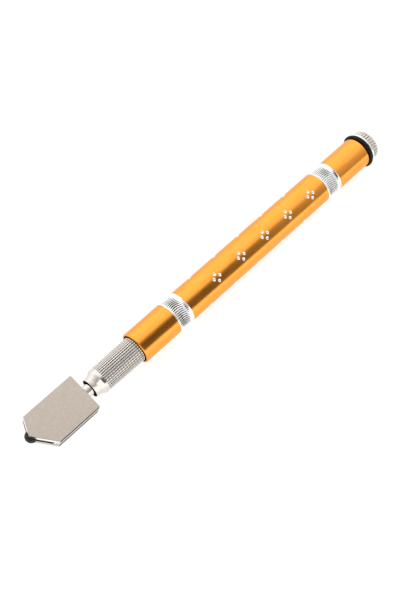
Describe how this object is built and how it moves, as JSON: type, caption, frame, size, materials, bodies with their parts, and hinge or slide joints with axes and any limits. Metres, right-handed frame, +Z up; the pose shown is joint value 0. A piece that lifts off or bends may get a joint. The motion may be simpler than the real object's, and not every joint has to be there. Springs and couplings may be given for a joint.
{
  "type": "oil-fed glass cutter",
  "caption": "Pencil-grip oil-fed glass cutter: knurled nose collar, swivelling sprung pentagonal head with a scoring wheel, decorated tube handle and screw cap.",
  "frame": {"origin": "middle of the bounding box's base, on the surface that the tool lies on", "axes": "+X along the tool from the head to the tail cap, +Z up and square to the head's plates, +Y across"},
  "size_m": [0.17, 0.0138, 0.0135],
  "materials": {
    "gold_anodised": "satin-gloss gold anodising with diamond-cut bright bands and dimples",
    "bright_nickel": "bright nickel plate",
    "satin_nickel": "satin nickel, slightly warm",
    "steel": "ground steel",
    "spring_steel": "drawn spring wire",
    "brass": "turned brass",
    "carbide": "ground tungsten carbide, near black",
    "black_rubber": "matt black rubber",
    "felt": "twisted cotton"
  },
  "bodies": {
    "handle": {"barrel": "gold_anodised", "nose_collar": "bright_nickel", "nose_seal": "black_rubber", "guide_bush": "brass", "gland_seal": "black_rubber", "gland_washer": "brass", "valve_seat": "brass", "return_spring": "spring_steel"},
    "valve": {"thrust_washer": "brass", "valve_stem": "steel", "valve_poppet": "black_rubber", "stem_nut": "brass"},
    "head": {"shank": "bright_nickel", "shank_clip": "spring_steel", "wick": "felt", "upper_plate": "satin_nickel", "spacer_core": "satin_nickel", "lower_plate": "satin_nickel", "head_dowel_1": "steel", "head_dowel_2": "steel", "head_dowel_3": "steel", "head_dowel_4": "steel", "wheel_axle": "steel"},
    "wheel": {"cutting_wheel": "carbide"},
    "seal": {"tail_seal": "black_rubber"},
    "cap": {"cap_stud": "brass", "cap_knob": "bright_nickel"}
  },
  "joints": [
    {"name": "head_press", "type": "slide", "parent": "handle", "child": "valve", "axis": [1, 0, 0], "range_m": [0, 0.001], "stiffness_N_per_m": 1500, "springref_m": -0.002, "deforming": ["return_spring"]},
    {"name": "head_swivel", "type": "hinge", "parent": "valve", "child": "head", "pos_m": [-0.0488, 0, 0.00675], "axis": [1, 0, 0], "continuous": true},
    {"name": "wheel_spin", "type": "hinge", "parent": "head", "child": "wheel", "pos_m": [-0.08284, 0.001, 0.00675], "axis": [0, 0, 1], "continuous": true},
    {"name": "seal_slide", "type": "slide", "parent": "handle", "child": "seal", "axis": [1, 0, 0], "range_m": [0, 0.004]},
    {"name": "cap_turn", "type": "hinge", "parent": "seal", "child": "cap", "pos_m": [0.0812, 0, 0.00675], "axis": [1, 0, 0], "range_deg": [0, 1440]}
  ],
  "couplings": [
    {"joint": "seal_slide", "follows": "cap_turn", "m_per_rad": 0.00015915}
  ]
}
